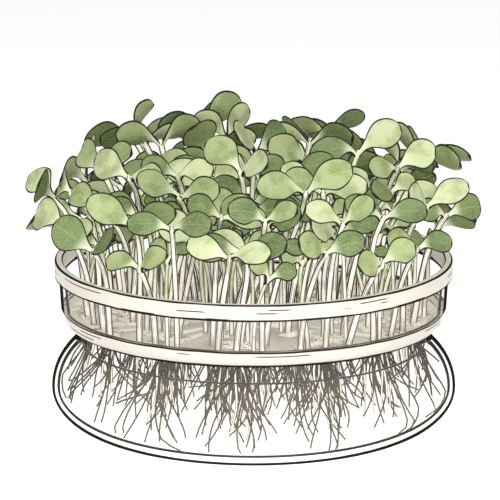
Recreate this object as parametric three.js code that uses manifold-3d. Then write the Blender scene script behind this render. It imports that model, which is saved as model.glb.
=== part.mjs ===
// Microgreens tray: a crop of seedlings in a round clear tray, which rests on the mouth of a
// glass bowl of water. Their roots hang through holes in the tray's floor into the water.
// Millimetres, +Z up. The origin is the centre of the bowl's flat foot, which stands on Z = 0.

import * as THREE from "three";
import { mergeVertices } from "three/addons/utils/BufferGeometryUtils.js";
import Module from "manifold-3d";

const wasm = await Module();
wasm.setup();

// Bowl: a squashed glass shell with a flat foot, round shoulders and a short upright lip
const FOOT_R = 50;
const BELLY_R = 76.5;
const BELLY_Z = 17;
const SHOULDER_HEIGHT = 23.5;
const LIP_R = 66.2;
const LIP_TOP_Z = 40.5;
const GLASS = 2;
const BOWL_FLOOR = 3;
const ROUND_SIDES = 34;
const SIDE_STEPS = 3;

// Gap that stands for two touching surfaces
const TOUCH = 0.3;

// Water
const WATER_Z = 34;

// Tray: a rolled rim band over a tapered wall, a lower band that curves in, and a flat floor
const TRAY_FOOT_Z = LIP_TOP_Z + TOUCH;
const TRAY_FLOOR_Z = 43.4;
const TRAY_FLOOR_THICKNESS = 2;
const TRAY_FOOT_INNER_R = 63.2;
const TRAY_FOOT_OUTER_R = 68.4;
const BAND_R = 72.4;
const BAND_TOP_Z = 47.9;
const BAND_STEP = 0.5;
const BAND_CURVE_SHARE = 0.35;
const WALL_TOP_R = 73.7;
const WALL_THICKNESS = 1.9;
const RIM_R = 75.3;
const RIM_INNER_R = 72.2;
const RIM_BOTTOM_Z = 60;
const RIM_TOP_Z = 66.5;
const RIM_ROUNDING = 1;

// Clusters: rings of root holes in the tray's floor, each hole with one small bunch over it
const CLUSTERS_IN_RING = [1, 4, 7, 9, 12];
const STEMS_IN_RING = [2, 2, 2, 3, 3];
const OUTER_RING = CLUSTERS_IN_RING.length - 1;
const RING_SPACING = 14.6;
const RING_TURN = 0.37;
const ROOT_HOLE_R = 3.1;
const HOLE_SIDES = 6;

// Root felt, the flat pad of matted roots under each bunch
const FELT_SHIFT = 1.06;
const FELT_DEPTH = 5.8;
const FELT_BEYOND_STEM = 3.5;
const FELT_THICKNESS = 1.7;
const FELT_BEVEL = 0.9;
const FELT_SIDES = 6;

// Stems
const STEM_SPACING = 9;
const STEM_JITTER = 2.6;
const STEM_BASE_R = 1.45;
const STEM_TOP_R = 1.15;
const STEM_SIDES = 4;
const STEM_STATIONS = [0, 0.4, 0.75, 1];
const STEM_BASE_Z = TRAY_FLOOR_Z + TOUCH + 0.5;

// Canopy: the dome that the stem tips lie under. A range of two numbers runs from the middle of
// the crop to its outer ring.
const CANOPY_TOP_Z = 110;
const CANOPY_DROP = 14;
const CANOPY_R = 80;
const CANOPY_DEPTH = [16, 24];
const DEPTH_POWER = 1.3;
const TIP_LIMIT_R = 77;
const TIP_WANDER = [1.5, 0.2];
const LEAST_TILT = [0.15, 0.5];
const TILT_RANGE = [0.35, 0.6];
const HEADING_RANGE = [4, 0.9];
const GAZE_RANGE = [1.4, 0.9];
const SIDE_TURN = 0.55;
const PAIR_TURN_RANGE = 0.7;
const INNER_DRIFT = 5;

// Seedlings: each range of two numbers holds the least and the most of what is drawn at random
const TIP_SPREAD = [1.02, 1.26];
const STEM_LEAN = [0.05, 0.3];
const STEM_LOW_SHARE = 0.42;
const STEM_CURVE_SHARE = 0.36;
const SEEDLING_SIZE = [0.8, 1.1];
const LEAF_LENGTH = [16, 19.5];
const LEAF_WIDTH = [11, 13.6];
const LEAF_RISE = [0.15, 0.85];
const LEAF_ARCH = [0, 0.5];
const LEAF_PITCH = [0.7, 1.25];
const LEAF_LIFT = [0.05, 0.3];
const LEAF_DROOP = [0.1, 0.5];

// Seed leaves
const LEAF_THICKNESS = 0.8;
const LEAF_WIDEST = 0.62;
const LEAF_STATIONS = [0.34, 0.6, 0.86];
const PETIOLE_HALF = 0.8;
const NODE_HALF = 1.5;

// Room between one seedling and the next
const CLEARANCE = 3.5;
const TRIES = 320;
const REACH_LIMIT_R = 87;
const LEAF_LOWEST_Z = 75;
const RIM_CLEAR_R = 69.8;
const RIM_CLEAR_Z = 69;
const STEM_SAMPLES = 18;
const LEAF_SAMPLES = [0.28, 0.45, 0.62, 0.8, 0.96];
const ACROSS_SAMPLES = [-0.9, -0.35, 0.35, 0.9];
const NARROW_SHARE = 0.4;

// Roots
const ROOTS_IN_CLUSTER = 3;
const ROOT_TOP_Z = TRAY_FLOOR_Z + TOUCH + 0.8;
const ROOT_TOP_OFFSET = 1.1;
const ROOT_TOP_R = 0.75;
const ROOT_TIP_R = 0.45;
const ROOT_SIDES = 3;
const ROOT_DEPTHS = [0, 0.45, 1];
const ROOT_SPLAY = 0.1;
const ROOT_SPLAY_DEPTH = 38;
const ROOT_TURN_RANGE = 0.6;
const ROOT_REACH = [1.8, 4.1];
const ROOT_BOW = [-1.2, 1.2];
const ROOT_LOWEST_Z = 7;
const ROOT_LENGTH_RANGE = 11;
const ROOT_LENGTH_POWER = 1.5;
const OUTER_ROOT_LIFT = 6;

// Plain holes in the water, which the roots stand in
const WELL_R = 6.2;
const WELL_TOP_R = 3.4;
const WELL_BELOW_ROOTS = 0.8;
const WELL_SIDES = 6;

// How far a tool that cuts a hole reaches beyond it
const CUT_BEYOND = 1;

const SEED = 4217;
const SEED_STEP = 7919;

// A stream of numbers from 0 to 1 that depends on its seed alone
function drawsFrom(seed) {
  let state = seed >>> 0;
  return () => {
    state = (state + 0x6d2b79f5) >>> 0;
    let mixed = Math.imul(state ^ (state >>> 15), state | 1);
    mixed ^= mixed + Math.imul(mixed ^ (mixed >>> 7), mixed | 61);
    return ((mixed ^ (mixed >>> 14)) >>> 0) / 4294967296;
  };
}

const vector = (x, y, z) => new THREE.Vector3(x, y, z);
const between = (low, high, share) => low + (high - low) * share;
const within = ([low, high], share) => between(low, high, share);
const UP = vector(0, 0, 1);

// A three.js geometry as a solid that can be joined and cut
function solidOf(geometry) {
  const plain = geometry.clone();
  plain.deleteAttribute("normal");
  plain.deleteAttribute("uv");
  const merged = mergeVertices(plain, 1e-4);
  return new wasm.Manifold(
    new wasm.Mesh({
      numProp: 3,
      vertProperties: merged.attributes.position.array,
      triVerts: new Uint32Array(merged.index.array),
    }),
  );
}

// A solid as a named mesh in its own material
function meshOf(solid, name, material) {
  const made = solid.getMesh();
  const geometry = new THREE.BufferGeometry();
  geometry.setAttribute("position", new THREE.BufferAttribute(made.vertProperties, made.numProp));
  geometry.setIndex(new THREE.BufferAttribute(made.triVerts, 1));
  geometry.computeVertexNormals();
  const mesh = new THREE.Mesh(geometry, material);
  mesh.name = name;
  return mesh;
}

// A profile of [radius, height] points turned about Z
function turned(profile) {
  const points = profile.map(([radius, height]) => new THREE.Vector2(radius, height));
  return solidOf(new THREE.LatheGeometry(points, ROUND_SIDES).rotateX(Math.PI / 2));
}

// A closed skin through rings of points, with a flat cap at both ends
function lofted(rings) {
  const sides = rings[0].length;
  const positions = rings.flat().flatMap((point) => [point.x, point.y, point.z]);
  const faces = [];
  for (let ring = 0; ring + 1 < rings.length; ring += 1) {
    for (let side = 0; side < sides; side += 1) {
      const next = (side + 1) % sides;
      const low = ring * sides;
      const high = low + sides;
      faces.push(low + side, low + next, high + next, low + side, high + next, high + side);
    }
  }
  const top = (rings.length - 1) * sides;
  for (let side = 1; side + 1 < sides; side += 1) {
    faces.push(0, side + 1, side, top, top + side, top + side + 1);
  }
  const geometry = new THREE.BufferGeometry();
  geometry.setAttribute("position", new THREE.Float32BufferAttribute(positions, 3));
  geometry.setIndex(faces);
  return solidOf(geometry);
}

// One ring of a tube about a centre, square to its direction
function ringAbout(centre, direction, radius, sides) {
  const across = vector(1, 0, 0).cross(direction).normalize();
  const along = direction.clone().cross(across);
  return Array.from({ length: sides }, (_, side) => {
    const angle = (side / sides) * 2 * Math.PI;
    return centre
      .clone()
      .addScaledVector(across, -radius * Math.cos(angle))
      .addScaledVector(along, -radius * Math.sin(angle));
  });
}

// A quarter of an ellipse as [radius, height] points, from one angle to another
function arc(centreR, centreZ, reachR, reachZ, start, end, steps) {
  return Array.from({ length: steps + 1 }, (_, step) => {
    const angle = between(start, end, step / steps);
    return [centreR + reachR * Math.cos(angle), centreZ + reachZ * Math.sin(angle)];
  });
}

// The bowl's side from its foot to its lip, moved inwards by inset
function bowlSide(inset, floorZ, topZ) {
  const reach = BELLY_R - FOOT_R - inset;
  const height = SHOULDER_HEIGHT - inset;
  const neck = LIP_R - inset;
  const neckAngle = Math.acos((neck - FOOT_R) / reach);
  const lower = arc(FOOT_R, BELLY_Z, reach, BELLY_Z - floorZ, -Math.PI / 2, 0, SIDE_STEPS);
  const upper = arc(FOOT_R, BELLY_Z, reach, height, 0, neckAngle, SIDE_STEPS).slice(1);
  return [...lower, ...upper, [neck, topZ]];
}

function bowl() {
  const outside = bowlSide(0, 0, LIP_TOP_Z);
  const inside = bowlSide(GLASS, BOWL_FLOOR, LIP_TOP_Z).reverse();
  return turned([[0, 0], ...outside, ...inside, [0, BOWL_FLOOR]]);
}

// The water fills the bowl's inside up to its level surface
function waterBody() {
  const side = bowlSide(GLASS + TOUCH, BOWL_FLOOR + TOUCH, LIP_TOP_Z);
  const above = side.findIndex(([, height]) => height > WATER_Z);
  const [lowR, lowZ] = side[above - 1];
  const [highR, highZ] = side[above];
  const edgeR = between(lowR, highR, (WATER_Z - lowZ) / (highZ - lowZ));
  const bottom = [0, BOWL_FLOOR + TOUCH];
  return turned([bottom, ...side.slice(0, above), [edgeR, WATER_Z], [0, WATER_Z]]);
}

function trayBody() {
  const floorBottom = TRAY_FLOOR_Z - TRAY_FLOOR_THICKNESS;
  const innerWallR = BAND_R - WALL_THICKNESS;
  return turned([
    [0, floorBottom],
    [TRAY_FOOT_INNER_R, floorBottom],
    [TRAY_FOOT_INNER_R, TRAY_FOOT_Z],
    [TRAY_FOOT_OUTER_R, TRAY_FOOT_Z],
    [BAND_R - RIM_ROUNDING, between(TRAY_FOOT_Z, BAND_TOP_Z, BAND_CURVE_SHARE)],
    [BAND_R, BAND_TOP_Z],
    [BAND_R + BAND_STEP, BAND_TOP_Z],
    [WALL_TOP_R, RIM_BOTTOM_Z],
    [RIM_R, RIM_BOTTOM_Z],
    [RIM_R, RIM_TOP_Z - RIM_ROUNDING],
    [RIM_R - RIM_ROUNDING, RIM_TOP_Z],
    [RIM_INNER_R, RIM_TOP_Z],
    [WALL_TOP_R - WALL_THICKNESS, RIM_BOTTOM_Z],
    [innerWallR, TRAY_FLOOR_Z],
    [0, TRAY_FLOOR_Z],
  ]);
}

// Every cluster: its root hole's place, how far out its ring is, and its own seed
function clusterPlaces() {
  const places = [];
  CLUSTERS_IN_RING.forEach((count, ring) => {
    for (let index = 0; index < count; index += 1) {
      const angle = ring * RING_TURN + (index / count) * 2 * Math.PI;
      places.push({
        ring,
        angle,
        radius: ring * RING_SPACING,
        seed: SEED + places.length * SEED_STEP,
      });
    }
  });
  return places;
}

// A point at an angle and a distance from the axis
const polar = (angle, radius, height) =>
  vector(radius * Math.cos(angle), radius * Math.sin(angle), height);

// Half of a seed leaf's width at a share of its length, as a share of its greatest half width
function leafShape(share) {
  if (share < LEAF_WIDEST) {
    return Math.cos(((Math.PI / 2) * (LEAF_WIDEST - share)) / LEAF_WIDEST) ** 2;
  }
  return Math.sqrt(Math.max(0, 1 - ((share - LEAF_WIDEST) / (1 - LEAF_WIDEST)) ** 2));
}

// The middle of a leaf at a share of its length: a low arch from its petiole to its tip
function leafMiddle(leaf, share) {
  return leaf.root
    .clone()
    .addScaledVector(leaf.out, leaf.length * share)
    .addScaledVector(leaf.aside, leaf.length * leaf.bend * share * (1 - share))
    .addScaledVector(leaf.face, leaf.length * (leaf.lift * share - leaf.droop * share * share));
}

// The way across the leaf there
function leafAside(leaf, share) {
  return leaf.aside.clone().addScaledVector(leaf.out, -leaf.bend * (1 - 2 * share)).normalize();
}

// The leaf's upper face there
function leafFace(leaf, share) {
  const slope = leaf.lift - 2 * leaf.droop * share;
  return leaf.face.clone().addScaledVector(leaf.out, -slope).normalize();
}

// The way a pair of leaves is turned: to the front or the back, and more outwards at the sides
function gazeAngle(tipAngle, outer) {
  const open = Math.sin(tipAngle) < 0 ? -Math.PI / 2 : Math.PI / 2;
  const off = Math.atan2(Math.sin(tipAngle - open), Math.cos(tipAngle - open));
  return open + off * SIDE_TURN * outer;
}

// One leaf of a pair, on one hand or the other (1 or -1) of the stem's tip
function drawLeaf({ tip, growth, across, gaze, size, hand }, draw) {
  const arch = within(LEAF_ARCH, draw());
  const rise = within(LEAF_RISE, draw()) - arch / 2;
  const out = across.clone().multiplyScalar(hand * Math.cos(rise));
  out.addScaledVector(growth, Math.sin(rise)).normalize();
  const pitch = within(LEAF_PITCH, draw());
  const sight = polar(gaze, Math.sin(pitch), Math.cos(pitch));
  const face = sight.addScaledVector(out, -sight.dot(out)).normalize();
  return {
    out,
    face,
    aside: out.clone().cross(face),
    bend: -hand * arch,
    root: tip,
    length: size * within(LEAF_LENGTH, draw()),
    width: size * within(LEAF_WIDTH, draw()),
    lift: within(LEAF_LIFT, draw()),
    droop: within(LEAF_DROOP, draw()),
  };
}

// One seedling drawn at random over a base point: its stem's curve and its pair of leaves. Outer
// is 0 on the axis and 1 at the outer ring.
function drawSeedling(base, outer, draw) {
  const baseR = Math.hypot(base.x, base.y);
  const wander = (draw() - 0.5) * within(TIP_WANDER, outer);
  const tipAngle = Math.atan2(base.y, base.x) + wander;
  const spread = within(TIP_SPREAD, draw());
  const drift = INNER_DRIFT * draw() * (1 - outer);
  const tipR = Math.min(TIP_LIMIT_R, baseR * spread + drift);
  const depth = within(CANOPY_DEPTH, outer) * draw() ** DEPTH_POWER;
  const tip = polar(tipAngle, tipR, CANOPY_TOP_Z - CANOPY_DROP * (tipR / CANOPY_R) ** 4 - depth);
  const height = tip.z - base.z;
  const tilt = within(LEAST_TILT, outer) + within(TILT_RANGE, outer) * draw();
  const heading = tipAngle + (draw() - 0.5) * within(HEADING_RANGE, outer);
  const growth = polar(heading, Math.sin(tilt), Math.cos(tilt));
  const lean = within(STEM_LEAN, draw());
  const low = base.clone().lerp(tip, lean).setZ(base.z + height * STEM_LOW_SHARE);
  const high = tip.clone().addScaledVector(growth, -STEM_CURVE_SHARE * height);
  const stem = new THREE.CubicBezierCurve3(base, low, high, tip);
  const gaze = gazeAngle(tipAngle, outer) + (draw() - 0.5) * within(GAZE_RANGE, outer);
  const turn = (draw() - 0.5) * PAIR_TURN_RANGE;
  const across = polar(gaze + Math.PI / 2 + turn, 1, 0);
  const size = within(SEEDLING_SIZE, draw());
  const leaves = [1, -1].map((hand) => drawLeaf({ tip, growth, across, gaze, size, hand }, draw));
  return { stem, leaves };
}

// Points spread over a seedling, which stand for it when its room is measured
function touchPoints(seedling) {
  const points = [];
  for (let step = 0; step <= STEM_SAMPLES; step += 1) {
    points.push(seedling.stem.getPoint(step / STEM_SAMPLES));
  }
  for (const leaf of seedling.leaves) {
    for (const share of LEAF_SAMPLES) {
      const aside = leafAside(leaf, share);
      const half = (leafShape(share) * leaf.width) / 2;
      for (const place of share > NARROW_SHARE ? ACROSS_SAMPLES : [0]) {
        points.push(leafMiddle(leaf, share).addScaledVector(aside, half * place));
      }
    }
  }
  return points;
}

// Whether a seedling clears the rim and stays over the tray
function staysInside(points) {
  return points.every((point, index) => {
    const radius = Math.hypot(point.x, point.y);
    if (index > STEM_SAMPLES) {
      return radius < REACH_LIMIT_R && point.z > LEAF_LOWEST_Z;
    }
    return point.z > RIM_CLEAR_Z || radius < RIM_CLEAR_R;
  });
}

// The least distance from these points to those already taken
function roomOf(points, taken) {
  let least = Infinity;
  for (const point of points) {
    for (const other of taken) {
      least = Math.min(least, point.distanceToSquared(other));
    }
  }
  return Math.sqrt(least);
}

// Draws a seedling until it has room, or keeps the roomiest of its tries
function placeSeedling(base, outer, draw, taken) {
  let best = { room: -1 };
  for (let attempt = 0; attempt < TRIES && best.room < CLEARANCE; attempt += 1) {
    const seedling = drawSeedling(base, outer, draw);
    const points = touchPoints(seedling);
    if (staysInside(points)) {
      const room = roomOf(points, taken);
      if (room > best.room) {
        best = { room, seedling, points };
      }
    }
  }
  return best;
}

// A stem as a slim tapered tube
function stemSolid(stem) {
  return lofted(
    STEM_STATIONS.map((share) =>
      ringAbout(
        stem.getPoint(share),
        stem.getTangent(share),
        between(STEM_BASE_R, STEM_TOP_R, share),
        STEM_SIDES,
      ),
    ),
  );
}

// One row across a leaf: its middle, the way across it, its upper face and half its width
function leafRow(leaf, share, hand) {
  return {
    middle: leafMiddle(leaf, share),
    aside: leafAside(leaf, share).multiplyScalar(hand),
    face: leafFace(leaf, share),
    half: Math.max(PETIOLE_HALF, (leafShape(share) * leaf.width) / 2),
  };
}

// Both leaves as one even blade that crosses the stem's top, with the same triangles on both
// faces. The first and last rows are the leaves' tips, which are single points.
function leafPairSolid({ stem, leaves }) {
  const [first, second] = leaves;
  const node = {
    middle: stem.v3,
    aside: first.aside.clone().sub(second.aside).normalize(),
    face: first.face.clone().add(second.face).normalize(),
    half: NODE_HALF,
  };
  const shares = [...LEAF_STATIONS, 1];
  const rows = [
    ...shares.map((share) => leafRow(first, share, 1)).reverse(),
    node,
    ...shares.map((share) => leafRow(second, share, -1)),
  ];
  const last = rows.length - 1;
  const edgePoint = (index, edge) => ({ ...rows[index], edge });
  const outline = [edgePoint(0, 0)];
  for (let index = 1; index < last; index += 1) {
    outline.push(edgePoint(index, 1));
  }
  outline.push(edgePoint(last, 0));
  for (let index = last - 1; index > 0; index -= 1) {
    outline.push(edgePoint(index, -1));
  }
  const positions = [];
  for (const sheet of [0.5, -0.5]) {
    for (const { middle, aside, face, half, edge } of outline) {
      const point = middle.clone().addScaledVector(aside, edge * half);
      point.addScaledVector(face, sheet * LEAF_THICKNESS);
      positions.push(point.x, point.y, point.z);
    }
  }
  const count = outline.length;
  const faces = [];
  const addFace = (a, b, c) => {
    faces.push(a, c, b);
    faces.push(count + a, count + b, count + c);
  };
  addFace(0, 1, count - 1);
  for (let row = 1; row + 1 < last; row += 1) {
    addFace(row, row + 1, count - row);
    addFace(row + 1, count - row - 1, count - row);
  }
  addFace(last - 1, last, last + 1);
  for (let edge = 0; edge < count; edge += 1) {
    const next = (edge + 1) % count;
    faces.push(edge, next, count + next, edge, count + next, count + edge);
  }
  const geometry = new THREE.BufferGeometry();
  geometry.setAttribute("position", new THREE.Float32BufferAttribute(positions, 3));
  geometry.setIndex(faces);
  return solidOf(geometry);
}

// How much wider the hanging roots stand than their holes, at a height
const splay = (height) => 1 + (ROOT_SPLAY * (TRAY_FLOOR_Z - height)) / ROOT_SPLAY_DEPTH;

// The lowest point of each root in a cluster
function rootTips(place, draw) {
  const lift = place.ring === OUTER_RING ? OUTER_ROOT_LIFT : 0;
  return Array.from({ length: ROOTS_IN_CLUSTER }, (_, index) => ({
    angle: ((index + ROOT_TURN_RANGE * draw()) / ROOTS_IN_CLUSTER) * 2 * Math.PI,
    reach: within(ROOT_REACH, draw()),
    bow: within(ROOT_BOW, draw()),
    height: ROOT_LOWEST_Z + lift + ROOT_LENGTH_RANGE * draw() ** ROOT_LENGTH_POWER,
  }));
}

// A root from inside the felt, through its hole and down into the water
function rootSolid(place, tip) {
  const centres = ROOT_DEPTHS.map((share) => {
    const height = between(ROOT_TOP_Z, tip.height, share);
    const middle = polar(place.angle, place.radius * splay(height), height);
    const reach = between(ROOT_TOP_OFFSET, tip.reach, share);
    return middle.add(polar(tip.angle + tip.bow * share, reach, 0));
  });
  return lofted(
    centres.map((centre, index) => {
      const before = centres[Math.max(0, index - 1)];
      const after = centres[Math.min(centres.length - 1, index + 1)];
      const direction = after.clone().sub(before).normalize();
      const radius = between(ROOT_TOP_R, ROOT_TIP_R, ROOT_DEPTHS[index]);
      return ringAbout(centre, direction, radius, ROOT_SIDES);
    }),
  );
}

// The plain hole that a cluster's roots stand in
function wellSolid(place, lowest) {
  const ends = [
    [lowest - WELL_BELOW_ROOTS, WELL_R],
    [WATER_Z + CUT_BEYOND, WELL_TOP_R],
  ];
  return lofted(
    ends.map(([height, radius]) =>
      ringAbout(polar(place.angle, place.radius * splay(height), height), UP, radius, WELL_SIDES),
    ),
  );
}

// The hole in the tray's floor over it
function floorHole(place) {
  const heights = [TRAY_FOOT_Z - CUT_BEYOND, TRAY_FLOOR_Z + CUT_BEYOND];
  const ring = (height) =>
    ringAbout(polar(place.angle, place.radius, height), UP, ROOT_HOLE_R, HOLE_SIDES);
  return lofted(heights.map(ring));
}

// A level oval about a cluster's place, longer along its ring than across it
function feltRing(place, height, inset) {
  const length = ((STEMS_IN_RING[place.ring] - 1) * STEM_SPACING) / 2 + FELT_BEYOND_STEM;
  const centre = polar(place.angle, place.radius * FELT_SHIFT, height);
  return Array.from({ length: FELT_SIDES }, (_, side) => {
    const turn = ((side + 0.5) / FELT_SIDES) * 2 * Math.PI;
    return centre
      .clone()
      .add(polar(place.angle, (FELT_DEPTH - inset) * Math.cos(turn), 0))
      .add(polar(place.angle + Math.PI / 2, (length - inset) * Math.sin(turn), 0));
  });
}

function feltSolid(place) {
  const low = TRAY_FLOOR_Z + TOUCH;
  return lofted([feltRing(place, low, 0), feltRing(place, low + FELT_THICKNESS, FELT_BEVEL)]);
}

// The foot of each stem in a cluster, in a row along its ring
function stemBases(place, draw) {
  const count = STEMS_IN_RING[place.ring];
  const centre = polar(place.angle, place.radius * FELT_SHIFT, STEM_BASE_Z);
  return Array.from({ length: count }, (_, index) => {
    const along = (index - (count - 1) / 2) * STEM_SPACING + (draw() - 0.5) * STEM_JITTER;
    return centre
      .clone()
      .add(polar(place.angle + Math.PI / 2, along, 0))
      .add(polar(place.angle, (draw() - 0.5) * STEM_JITTER, 0));
  });
}

const joined = (solids) => solids.reduce((whole, solid) => whole.add(solid));
const cut = (body, tools) => tools.reduce((whole, tool) => whole.subtract(tool), body);

function finish(color, roughness) {
  return new THREE.MeshStandardMaterial({ color, roughness, metalness: 0 });
}

const places = clusterPlaces();
const taken = [];

// The bunch of seedlings over one root hole, with the roots that hang from it
function growBunch(place) {
  const draw = drawsFrom(place.seed);
  const outer = place.ring / OUTER_RING;
  const tips = rootTips(place, draw);
  const pieces = [feltSolid(place), ...tips.map((tip) => rootSolid(place, tip))];
  for (const base of stemBases(place, draw)) {
    const { seedling, points } = placeSeedling(base, outer, draw, taken);
    taken.push(...points);
    pieces.push(stemSolid(seedling.stem), leafPairSolid(seedling));
  }
  return {
    solid: joined(pieces),
    well: wellSolid(place, Math.min(...tips.map((tip) => tip.height))),
  };
}

const bunches = places.map(growBunch);
const wells = bunches.map(({ well }) => well);
const seedlingFinish = finish(0x8fa765, 0.6);

const tray = new THREE.Group();
tray.add(meshOf(bowl(), "bowl", finish(0xf6f1e6, 0.05)));
tray.add(meshOf(cut(waterBody(), wells), "water", finish(0xf2f1ea, 0.02)));
tray.add(meshOf(cut(trayBody(), places.map(floorHole)), "tray", finish(0xfaf5ea, 0.2)));
bunches.forEach(({ solid }, index) => {
  const number = String(index + 1).padStart(2, "0");
  tray.add(meshOf(solid, "seedlings_" + number, seedlingFinish));
});

export default tray;
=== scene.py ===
"""The microgreens tray's looks: fine seedlings, roots, tray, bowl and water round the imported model."""

import math

import bmesh
import bpy
import numpy as np
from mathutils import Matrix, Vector


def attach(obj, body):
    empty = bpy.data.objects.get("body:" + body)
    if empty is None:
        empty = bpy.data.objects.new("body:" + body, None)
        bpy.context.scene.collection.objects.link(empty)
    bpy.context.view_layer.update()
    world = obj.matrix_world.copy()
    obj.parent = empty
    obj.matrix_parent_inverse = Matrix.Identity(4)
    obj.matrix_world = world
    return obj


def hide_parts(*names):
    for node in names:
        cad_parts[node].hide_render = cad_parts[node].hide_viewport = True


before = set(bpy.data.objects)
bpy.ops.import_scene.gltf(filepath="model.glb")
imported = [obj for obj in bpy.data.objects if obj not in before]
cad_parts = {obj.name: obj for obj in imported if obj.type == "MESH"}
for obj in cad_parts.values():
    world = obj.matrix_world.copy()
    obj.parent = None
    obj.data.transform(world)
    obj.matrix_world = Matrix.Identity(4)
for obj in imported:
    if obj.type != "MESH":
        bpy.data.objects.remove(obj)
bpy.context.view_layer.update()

# Lengths are in millimetres up to the making of each mesh
MM = 0.001

# Bowl
FOOT_R = 50
BELLY_R = 76.5
BELLY_Z = 17
SHOULDER_HEIGHT = 23.5
LIP_R = 66.2
LIP_TOP_Z = 40.5
GLASS = 2
BOWL_FLOOR = 3
TOUCH = 0.3

# Water
WATER_Z = 34

# Tray
TRAY_FOOT_Z = LIP_TOP_Z + TOUCH
TRAY_FLOOR_Z = 43.4
TRAY_FLOOR_THICKNESS = 2
TRAY_FOOT_INNER_R = 63.2
TRAY_FOOT_OUTER_R = 68.4
BAND_R = 72.4
BAND_TOP_Z = 47.9
BAND_STEP = 0.5
WALL_TOP_R = 73.7
WALL_THICKNESS = 1.9
RIM_R = 75.3
RIM_INNER_R = 72.2
RIM_BOTTOM_Z = 60
RIM_TOP_Z = 66.5

# Clusters of seedlings
CLUSTERS_IN_RING = [1, 4, 7, 9, 12]
STEMS_IN_RING = [2, 2, 2, 3, 3]
OUTER_RING = len(CLUSTERS_IN_RING) - 1
RING_SPACING = 14.6
RING_TURN = 0.37
ROOT_HOLE_R = 3.1
FELT_SHIFT = 1.06
FELT_DEPTH = 5.8
FELT_BEYOND_STEM = 3.5
FELT_THICKNESS = 1.7
STEM_SPACING = 9
STEM_JITTER = 2.6
STEM_BASE_Z = TRAY_FLOOR_Z + TOUCH + 0.5

# Canopy: a range of two numbers runs from the middle of the crop to its outer ring
CANOPY_TOP_Z = 110
CANOPY_DROP = 14
CANOPY_R = 80
CANOPY_DEPTH = (16, 24)
DEPTH_POWER = 1.3
TIP_LIMIT_R = 77
TIP_WANDER = (1.5, 0.2)
LEAST_TILT = (0.15, 0.5)
TILT_RANGE = (0.35, 0.6)
HEADING_RANGE = (4, 0.9)
GAZE_RANGE = (1.4, 0.9)
SIDE_TURN = 0.55
PAIR_TURN_RANGE = 0.7
INNER_DRIFT = 5

# Seedlings: each range of two numbers holds the least and the most of what is drawn at random
TIP_SPREAD = (1.02, 1.26)
STEM_LEAN = (0.05, 0.3)
STEM_LOW_SHARE = 0.42
STEM_CURVE_SHARE = 0.36
SEEDLING_SIZE = (0.8, 1.1)
LEAF_LENGTH = (16, 19.5)
LEAF_WIDTH = (11, 13.6)
LEAF_RISE = (0.15, 0.85)
LEAF_ARCH = (0, 0.5)
LEAF_PITCH = (0.7, 1.25)
LEAF_LIFT = (0.05, 0.3)
LEAF_DROOP = (0.1, 0.5)
LEAF_WIDEST = 0.62

# Room between one seedling and the next
CLEARANCE = 3.5
TRIES = 320
REACH_LIMIT_R = 87
LEAF_LOWEST_Z = 75
RIM_CLEAR_R = 69.8
RIM_CLEAR_Z = 69
STEM_SAMPLES = np.arange(19) / 18
LEAF_SAMPLES = (0.28, 0.45, 0.62, 0.8, 0.96)
ACROSS_SAMPLES = np.array([-0.9, -0.35, 0.35, 0.9])
NARROW_SHARE = 0.4

# Roots
ROOTS_IN_CLUSTER = 3
ROOT_TOP_Z = TRAY_FLOOR_Z + TOUCH + 0.8
ROOT_TOP_OFFSET = 1.1
ROOT_SPLAY = 0.1
ROOT_SPLAY_DEPTH = 38
ROOT_TURN_RANGE = 0.6
ROOT_REACH = (1.8, 4.1)
ROOT_BOW = (-1.2, 1.2)
ROOT_LOWEST_Z = 7
ROOT_LENGTH_RANGE = 11
ROOT_LENGTH_POWER = 1.5
OUTER_ROOT_LIFT = 6

# Young sprouts, which fill the crop under its canopy
SPROUTS_IN_CLUSTER = 4
SPROUT_TRIES = 24
SPROUT_CLEARANCE = 2.0
NEAR_R = 36
SPROUT_BED_DEPTH = 6
SPROUT_BEYOND_STEM = 1.5
SPROUT_TIP_Z = (73, 93)
SPROUT_TIP_R = 66
SPROUT_LEAN = 9
SPROUT_TILT = 12
SPROUT_GAZE_RANGE = 1.2
SPROUT_SIZE = (0.42, 0.68)

# Girth, and tone: a share that picks a leaf's green and how green a stem is, where a stem's green is
# partly painted shade
STEM_GIRTH = (0.92, 1.08)
SPROUT_GIRTH = (0.6, 0.8)
STEM_TONE_CHANCE = 0.2
SPROUT_STEM_TONE = (0.5, 1.0)
SPROUT_LEAF_TONE = (0.45, 1.0)

# Leaf mesh
LEAF_ROWS = 20
LEAF_COLUMNS = 12
LEAF_CUP = (-0.05, 0.32)
LEAF_WAVE = (0.1, 0.35)
WAVES_ALONG = 9
WAVES_ACROSS = 2
TIP_LIFT = 0.3
PETIOLE_HALF = 1.2
PETIOLE_THICK = 2.0
PETIOLE_SHARE = 0.3
PETIOLE_SINK = 2.4
BLADE_THICK = 0.9
THINNING_SHARE = 0.4
BLADE_SHARE = 0.35

# Stem mesh
STEM_BASE_R = 1.4
STEM_TOP_R = 1.1
STEM_ROWS = 20
STEM_SIDES = 12
STEM_UNEVEN = 0.04
STEM_WAVES = 9
FORK_SHARE = 0.85
FORK_SWELL = 0.22
CAP_HEIGHT = 0.45
CAP_SHARE = 0.55

# Root mesh
ROOT_ROWS = 16
ROOT_SIDES = 8
ROOT_SWAY = (0.8, 2.2)
ROOT_WAVES = 6.5
ROOT_TIP_R = 0.18
ROOT_TAPER = 0.65
ROOT_TAPER_POWER = 0.7
GLASS_CLEARANCE = 1.2

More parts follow.
